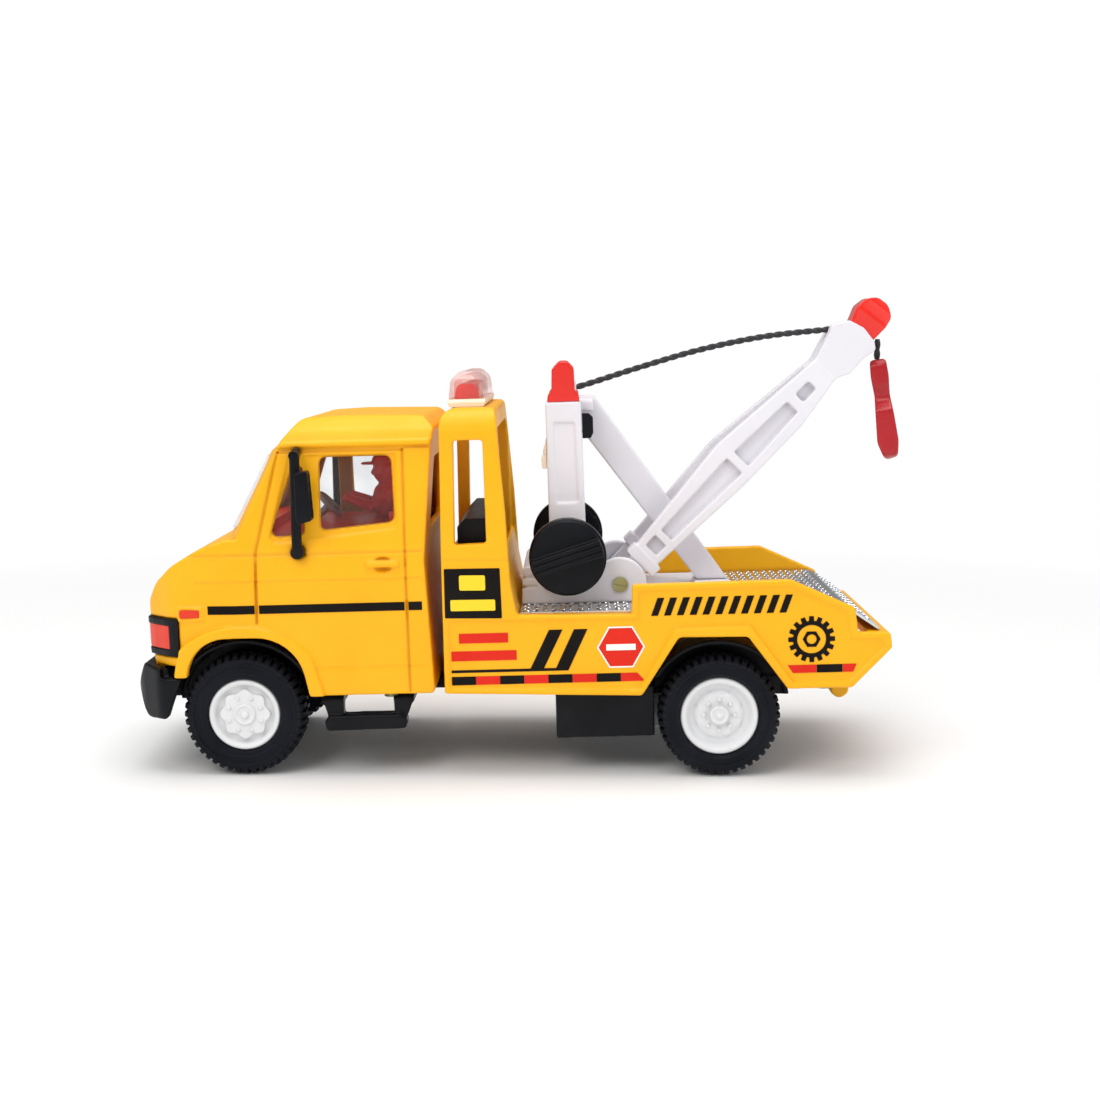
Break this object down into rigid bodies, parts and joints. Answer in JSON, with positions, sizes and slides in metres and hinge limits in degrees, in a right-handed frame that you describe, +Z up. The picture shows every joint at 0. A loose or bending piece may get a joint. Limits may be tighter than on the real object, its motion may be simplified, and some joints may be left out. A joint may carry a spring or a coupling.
{
  "type": "toy tow truck",
  "caption": "Pull-back toy tow truck with cab, roll-over gantry, silver deck, hand winch, tilting lattice boom, twisted rope and red hook.",
  "frame": {"origin": "middle of the truck in plan, on the ground plane under the tyres", "axes": "+X forward, +Y to the truck's left, +Z up"},
  "size_m": [0.1781, 0.0712, 0.108],
  "materials": {
    "yellow_plastic": "satin moulded plastic",
    "black_plastic": "semi-matt moulded plastic",
    "white_plastic": "semi-gloss moulded plastic",
    "grey_plastic": "moulded plastic",
    "cream_plastic": "moulded plastic",
    "red_plastic": "moulded plastic",
    "red_lens": "glossy coloured plastic",
    "orange_lens": "glossy painted lens",
    "silvered_lens": "clear lens over silver",
    "clear_plastic": "clear plastic",
    "clear_red_plastic": "clear tinted plastic",
    "silver_deck": "metallised embossed plastic",
    "print_black": "printed film",
    "print_red": "printed film",
    "print_white": "printed film",
    "print_yellow": "printed film",
    "tyre": "soft plastic tyre",
    "rope": "twisted cord",
    "steel": "plated steel",
    "zinc_steel": "yellow zinc plate"
  },
  "bodies": {
    "root": {"chassis": "black_plastic", "front_bumper": "black_plastic", "cab_shell": "yellow_plastic", "cab_glazing": "clear_plastic", "front_grille": "black_plastic", "headlamp_lenses": "silvered_lens", "indicator_lenses": "orange_lens", "marker_lenses": "orange_lens", "interior_tub": "red_plastic", "steering_wheel": "grey_plastic", "driver_figure": "red_plastic", "mirror_left": "black_plastic", "mirror_right": "black_plastic", "bed_body": "yellow_plastic", "deck_plate": "silver_deck", "gantry_toolbox": "black_plastic", "lightbar_base": "cream_plastic", "lightbar_insert": "red_lens", "lightbar_cover": "clear_red_plastic", "crane_base": "white_plastic", "crane_mast": "white_plastic", "mast_beacons": "red_lens", "front_work_lamps": "cream_plastic", "rear_work_lamps": "black_plastic", "boom_pins": "zinc_steel", "body_screws": "zinc_steel", "graphics_black": "print_black", "graphics_red": "print_red", "graphics_white": "print_white", "graphics_yellow": "print_yellow", "cab_stripe": "print_black", "motor_housing_left": "grey_plastic", "motor_housing_right": "grey_plastic", "idler_pin": "steel", "spring_pin": "steel", "rope_fall": "rope", "rope_span": "rope"},
    "front_wheels": {"front_axle": "steel", "front_rims": "white_plastic", "front_tyres": "tyre"},
    "rear_wheels": {"rear_axle": "steel", "rear_rims": "white_plastic", "rear_tyres": "tyre", "axle_gear": "steel"},
    "motor_idler": {"idler_gear": "white_plastic"},
    "motor_spring": {"spring_gear": "white_plastic", "mainspring": "steel"},
    "winch": {"winch_shaft": "steel", "winch_knobs": "black_plastic", "winch_spool": "black_plastic", "wound_rope": "rope"},
    "boom": {"boom_frame": "white_plastic", "tip_lamp": "red_lens"},
    "hook_line": {"rope_drop": "rope"},
    "hook": {"hook": "red_plastic"}
  },
  "joints": [
    {"name": "front_axle_spin", "type": "hinge", "parent": "root", "child": "front_wheels", "pos_m": [0.0632, 0, 0.0138], "axis": [0, 1, 0], "continuous": true},
    {"name": "rear_axle_spin", "type": "hinge", "parent": "root", "child": "rear_wheels", "pos_m": [-0.0444, 0, 0.0138], "axis": [0, 1, 0], "continuous": true},
    {"name": "motor_idler_spin", "type": "hinge", "parent": "root", "child": "motor_idler", "pos_m": [-0.036, 0, 0.01719], "axis": [0, 1, 0], "continuous": true},
    {"name": "motor_spring_spin", "type": "hinge", "parent": "root", "child": "motor_spring", "pos_m": [-0.02641, 0, 0.01585], "axis": [0, 1, 0], "continuous": true},
    {"name": "winch_spin", "type": "hinge", "parent": "root", "child": "winch", "pos_m": [-0.01003, 0, 0.0493], "axis": [0, -1, 0], "range_deg": [0, 540]},
    {"name": "boom_pitch", "type": "hinge", "parent": "root", "child": "boom", "pos_m": [-0.02213, 0, 0.04203], "axis": [0, 1, 0], "range_deg": [-25, 10], "deforming": ["rope_span"]},
    {"name": "rope_swing", "type": "hinge", "parent": "boom", "child": "hook_line", "pos_m": [-0.0832, 0, 0.0969], "axis": [0, 1, 0], "range_deg": [-10, 25]},
    {"name": "hook_drop", "type": "slide", "parent": "hook_line", "child": "hook", "axis": [0, 0, -1], "range_m": [0, 0.038], "deforming": ["rope_drop"]}
  ],
  "couplings": [
    {"joint": "motor_idler_spin", "follows": "rear_axle_spin", "ratio": -0.5},
    {"joint": "motor_spring_spin", "follows": "rear_axle_spin", "ratio": 0.16667},
    {"joint": "rope_swing", "follows": "boom_pitch", "ratio": -1},
    {"joint": "hook_drop", "follows": "winch_spin", "m_per_rad": 0.004}
  ]
}
